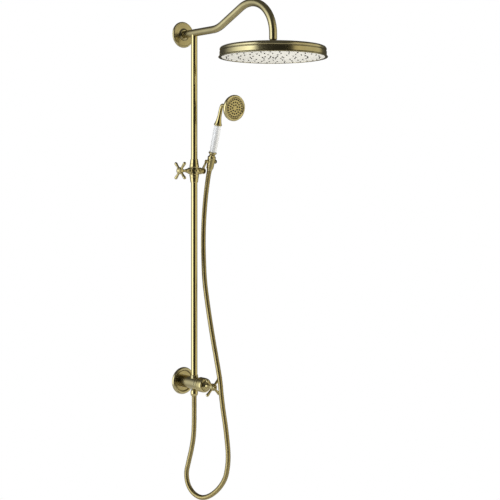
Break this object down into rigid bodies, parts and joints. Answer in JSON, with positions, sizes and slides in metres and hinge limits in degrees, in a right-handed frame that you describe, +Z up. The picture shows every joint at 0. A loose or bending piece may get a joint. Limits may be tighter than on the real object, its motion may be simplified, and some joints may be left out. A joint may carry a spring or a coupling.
{
  "type": "rainfall shower column",
  "caption": "Wall-hung shower column: gooseneck arm with round rain head, riser, sliding cradle with handset, hanging hose and cross-handle valve.",
  "frame": {"origin": "centre of the lower wall flange, on the wall plane", "axes": "+Z up along the riser, +Y into the wall, +X to the right of someone who faces the wall"},
  "size_m": [0.3, 0.56, 1.4517],
  "materials": {
    "aged_brass": "aged and brushed, satin",
    "polished_brass": "polished",
    "plain_brass": "as turned",
    "hose_brass": "interlocked metal strip, satin",
    "steel": "plain",
    "porcelain": "glossy white glaze",
    "cream_face": "cream, smooth",
    "nozzle_silicone": "soft matte",
    "black_rubber": "matte",
    "nylon": "plain",
    "ceramic_cartridge": "plain"
  },
  "bodies": {
    "root": {"lower_wall_flange": "aged_brass", "upper_wall_flange": "aged_brass", "valve_body": "aged_brass", "cartridge_seal": "black_rubber", "diverter_cartridge": "ceramic_cartridge", "valve_bonnet": "aged_brass", "riser_pipe": "aged_brass", "riser_seal": "black_rubber", "riser_collar": "aged_brass", "shower_arm": "aged_brass", "arm_grub_screw": "steel", "arm_wall_boss": "plain_brass", "arm_wall_screw": "steel", "head_ball_stem": "aged_brass", "hose_outlet_nut": "aged_brass", "outlet_washer": "black_rubber", "shower_hose": "hose_brass"},
    "valve_handle": {"valve_cross_handle": "aged_brass", "valve_handle_cap": "aged_brass", "valve_handle_screw": "steel", "valve_spindle": "plain_brass"},
    "head_seat": {"head_swivel_seat": "nylon"},
    "rain_head": {"head_swivel_nut": "aged_brass", "head_top_shell": "aged_brass", "head_rim_band": "aged_brass", "head_face_plate": "cream_face", "head_nozzle_mat": "nozzle_silicone"},
    "slider_bush": {"slider_bush": "nylon"},
    "slider": {"slider_body": "aged_brass", "slider_upper_cone": "aged_brass", "slider_lower_cone": "aged_brass", "clamp_bell": "aged_brass", "clamp_pad": "nylon", "swivel_cup": "aged_brass", "link_pivot_screw": "aged_brass"},
    "clamp_handle": {"clamp_cross_handle": "aged_brass", "clamp_handle_cap": "aged_brass", "clamp_handle_screw": "steel", "clamp_screw": "plain_brass"},
    "cradle_arm": {"cradle_link": "aged_brass", "cradle_pivot_screw": "aged_brass"},
    "cradle": {"handset_cradle": "aged_brass", "cradle_side_cap": "aged_brass"},
    "hose_end": {"hose_cone_nut": "aged_brass"},
    "handset": {"handset_collar": "aged_brass", "handset_grip": "porcelain", "handset_core_tube": "plain_brass", "handset_neck": "aged_brass", "handset_washer": "black_rubber", "spray_shell": "aged_brass", "spray_face_plate": "polished_brass", "spray_gasket": "black_rubber"}
  },
  "joints": [
    {"name": "valve_turn", "type": "hinge", "parent": "root", "child": "valve_handle", "pos_m": [0, -0.147, 0], "axis": [0, -1, 0], "range_deg": [-90, 90]},
    {"name": "head_tilt", "type": "hinge", "parent": "root", "child": "head_seat", "pos_m": [0, -0.41, 0.9765], "axis": [1, 0, 0], "range_deg": [-10, 10]},
    {"name": "head_spin", "type": "hinge", "parent": "head_seat", "child": "rain_head", "pos_m": [0, -0.41, 0.9765], "axis": [0, 0, 1], "continuous": true},
    {"name": "slider_travel", "type": "slide", "parent": "root", "child": "slider_bush", "axis": [0, 0, 1], "range_m": [-0.5, 0.15], "deforming": ["shower_hose"]},
    {"name": "slider_swivel", "type": "hinge", "parent": "slider_bush", "child": "slider", "pos_m": [0, -0.057, 0.632], "axis": [0, 0, 1], "range_deg": [-45, 45], "deforming": ["shower_hose"]},
    {"name": "clamp_turn", "type": "hinge", "parent": "slider", "child": "clamp_handle", "pos_m": [-0.052, -0.057, 0.632], "axis": [-1, 0, 0], "range_deg": [0, 180]},
    {"name": "link_tilt", "type": "hinge", "parent": "slider", "child": "cradle_arm", "pos_m": [0.029, -0.057, 0.632], "axis": [1, 0, 0], "range_deg": [-10, 10], "deforming": ["shower_hose"]},
    {"name": "cradle_tilt", "type": "hinge", "parent": "cradle_arm", "child": "cradle", "pos_m": [0.044, -0.08215, 0.66], "axis": [1, 0, 0], "range_deg": [-10, 10], "deforming": ["shower_hose"]},
    {"name": "handset_lift", "type": "slide", "parent": "cradle", "child": "hose_end", "axis": [0, -0.289, 0.9573], "range_m": [0, 0.06], "deforming": ["shower_hose"]},
    {"name": "handset_twist", "type": "hinge", "parent": "hose_end", "child": "handset", "pos_m": [0.044, -0.074, 0.633], "axis": [0, -0.289, 0.9573], "range_deg": [-40, 60]}
  ]
}
